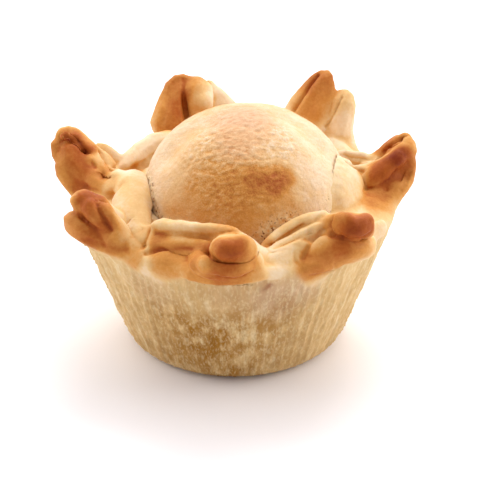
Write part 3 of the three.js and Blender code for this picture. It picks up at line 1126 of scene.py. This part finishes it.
class PIE_OT_shape_case(bpy.types.Operator):
    """Softens the case and its crown, flutes the wall and marks where the oven browned it and where
    shade is painted
    """

    bl_idname = "pie.shape_case"
    bl_label = "Shape the case"

    def execute(self, context):
        settings = context.scene.pie
        shape = settings.shape
        piece = dough_from("pastry_case", "case_crust")
        soften(piece, shape.grain, CASE_PASSES)
        move_to(piece, worked(piece, spots_on(surface_of(piece), WORKED)))
        surface = surface_of(piece)
        creases = strokes_on(surface, CREASES)
        # The browned spots also paint the shade of valleys and of the dough under overhangs
        browned, blushed, stained = (
            spots_on(surface, spots) for spots in (BROWNED_AND_SHADED_CASE, BLUSHED_WALL, STAINED_WALL)
        )
        move_to(piece, swollen(places(piece), outward(piece), strokes_on(surface, FORMS)))
        move_to(piece, creased(places(piece), outward(piece), creases))
        move_to(piece, wall_and_hand(places(piece), outward(piece), shape))
        move_to(piece, drawn_over_seam(places(piece), surface_of(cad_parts["pastry_lid"])))
        lighten(piece)

        points = places(piece)
        shade = crease_shade(points, creases)
        # Painted shade: hollows and creases are browned darker, and what stands out is a little paler as
        # a painted highlight
        hollow = np.clip(hollowness(piece, CASE_HOLLOW_PASSES) / DEEP_HOLLOW, *HOLLOW_RANGE)
        uneven = HOLLOW_PAINTED_SHADE * hollow + CREASE_PAINTED_SHADE * shade
        uneven = uneven + LUMP_BROWNING * lumps(points, size=5)
        mark(piece, "browning_and_shade", strength(points, PALEST_CASE, browned) + uneven)
        # Painted shade: the bottoms of the slits and seams get the dark crease colour
        mark(piece, "crease", CREASE_DARKENS * (shade - CREASE_DARK_FROM))
        mark(piece, "wall", on_the_wall(points, outward(piece), WALL_BLEND))
        # Painted highlight: the ridges of the flutes are marked to be drawn pale
        mark(piece, "ridge", flutes(points, shape.flute_pitch / MM) - RIDGE_HIGHLIGHT_FROM)
        mark(piece, "ochre", ochre_of_wall(points))
        mark(piece, "blush", strength(points, 0, blushed))
        mark(piece, "stain", strength(points, 0, stained))
        finish_crust(piece, shortcrust(settings.colours), "pastry_case")
        return {"FINISHED"}


class PIE_OT_shape_lid(bpy.types.Operator):
    """Softens the lid, wrinkles its browned top, marks its browning and painted shade, and marks its
    floury foot
    """

    bl_idname = "pie.shape_lid"
    bl_label = "Shape the lid"

    def execute(self, context):
        settings = context.scene.pie
        shape = settings.shape
        piece = dough_from("pastry_lid", "lid_crust")
        soften(piece, shape.lid_grain, LID_PASSES)
        surface = surface_of(piece)
        # The browned spots also paint the shade on the lower front of the lid
        browned, rosy, rough_spots = (
            spots_on(surface, spots) for spots in (BROWNED_AND_SHADED_LID, ROSY_LID, WRINKLED_LID)
        )
        case = surface_of(bpy.data.objects["case_crust"])
        move_to(piece, swollen(places(piece), outward(piece), strokes_on(surface, LID_FORMS)))
        points = places(piece)
        rough = strength(points, SMOOTHEST_LID, rough_spots)
        crackle = shape.crackle_depth / MM * wrinkled(points) * rough
        relief = (LID_UNEVEN * lumps(points, size=8) + crackle) * ease(points[:, 2], *WRINKLES_BEGIN)
        gap, _ = gap_to(case, points)
        crumbs = CRUMBS * lumps(points, size=0.9) * (1 - ease(gap, *CRUMBS_GAP))
        relief += crumbs * (1 - closed_over(points))
        move_to(piece, points + outward(piece) * relief[:, None])
        lighten(piece)

        points = places(piece)
        # Painted shade: the hollows of the wrinkles are browned darker and their crests paler
        wrinkle = np.clip(hollowness(piece, LID_HOLLOW_PASSES) / DEEP_WRINKLE, -1, 1)
        rough = strength(points, SMOOTHEST_LID, rough_spots)
        browning_and_shade = strength(points, PALEST_LID, browned) + WRINKLE_PAINTED_SHADE * wrinkle * rough
        mark(piece, "browning_and_shade", browning_and_shade)
        mark(piece, "rough", rough)
        mark(piece, "rosy", strength(points, 0, rosy))
        gap, _ = gap_to(case, points)
        near, far = FOOT_GAP
        foot = 1 - ease(gap, near, far + FOOT_FRONT * ease(-points[:, 1], *FRONT_Y))
        clean = ease(points[:, 0], *CLEAN_X) * ease(points[:, 2], *CLEAN_Z)
        mark(piece, "seam", FLOURED * foot)
        mark(piece, "scorched", foot * (1 - clean))
        finish_crust(piece, crackled_lid(settings.colours), "pastry_lid")
        return {"FINISHED"}


class PIE_OT_set_table(bpy.types.Operator):
    """Lays the white table, brightens the room, lights the pie from behind and sets the camera"""

    bl_idname = "pie.set_table"
    bl_label = "Set the table"

    def execute(self, context):
        scene = context.scene
        bpy.ops.mesh.primitive_plane_add(size=TABLE_SIDE, location=(0, 0, 0))
        table = context.active_object
        table.name = "table"
        table.data.materials.append(white_table(scene.pie.colours))

        world = bpy.data.worlds.new("bright_room")
        world.use_nodes = True
        tree = world.node_tree
        background = tree.nodes["Background"].inputs
        background["Color"].default_value = ROOM_TINT
        direction = add_node(tree, "ShaderNodeTexCoord").outputs["Generated"]
        along = add_node(tree, "ShaderNodeSeparateXYZ", {0: direction}).outputs[1]
        behind = stepped(tree, along, *BRIGHTENS)
        gain = BRIGHT_BEHIND - BRIGHT_FRONT
        brightness = reckon(tree, "MULTIPLY_ADD", behind, gain, BRIGHT_FRONT)
        tree.links.new(brightness, background["Strength"])
        scene.world = world

        for light in LIGHTS:
            self.add_light(*light)

        aim = Vector(CAMERA_AIM) * MM
        tilt = math.radians(CAMERA_ELEVATION)
        away = Vector((0, -math.cos(tilt), math.sin(tilt))) * CAMERA_AWAY * MM
        bpy.ops.object.camera_add(location=aim + away)
        camera = context.active_object
        camera.rotation_euler = (-away).to_track_quat("-Z", "Y").to_euler()
        camera.data.sensor_width = CAMERA_SENSOR
        camera.data.lens = CAMERA_LENS
        camera.data.clip_start = CAMERA_NEAR * MM
        scene.camera = camera
        scene.view_settings.view_transform = "Standard"
        return {"FINISHED"}

    def add_light(self, name, place, size, watts, tint):
        """A square soft light that shines at the pie."""
        bpy.ops.object.light_add(type="AREA", location=place)
        light = bpy.context.active_object
        light.name = name
        light.data.size = size
        light.data.energy = watts
        light.data.color = tint
        middle = Vector((0, 0, LIT_HEIGHT)) * MM
        light.rotation_euler = (middle - light.location).to_track_quat("-Z", "Y").to_euler()


class PIE_PT_sidebar(bpy.types.Panel):
    """The pie's steps, sizes and colours"""

    bl_idname = "PIE_PT_sidebar"
    bl_label = "Chicken pie"
    bl_space_type = "VIEW_3D"
    bl_region_type = "UI"
    bl_category = "Pie"

    def draw(self, context):
        for operator in OPERATORS:
            self.layout.operator(operator.bl_idname)
        for group in (context.scene.pie.shape, context.scene.pie.colours):
            for name in group.__annotations__:
                self.layout.prop(group, name)


OPERATORS = (PIE_OT_shape_case, PIE_OT_shape_lid, PIE_OT_set_table)
CLASSES = (PieShape, PieColours, PieSettings, *OPERATORS, PIE_PT_sidebar)


def register():
    for each in CLASSES:
        bpy.utils.register_class(each)
    bpy.types.Scene.pie = bpy.props.PointerProperty(type=PieSettings)


def unregister():
    del bpy.types.Scene.pie
    for each in reversed(CLASSES):
        bpy.utils.unregister_class(each)


def main():
    register()
    bpy.ops.pie.shape_case()
    bpy.ops.pie.shape_lid()
    bpy.ops.pie.set_table()


if __name__ == "__main__":
    main()
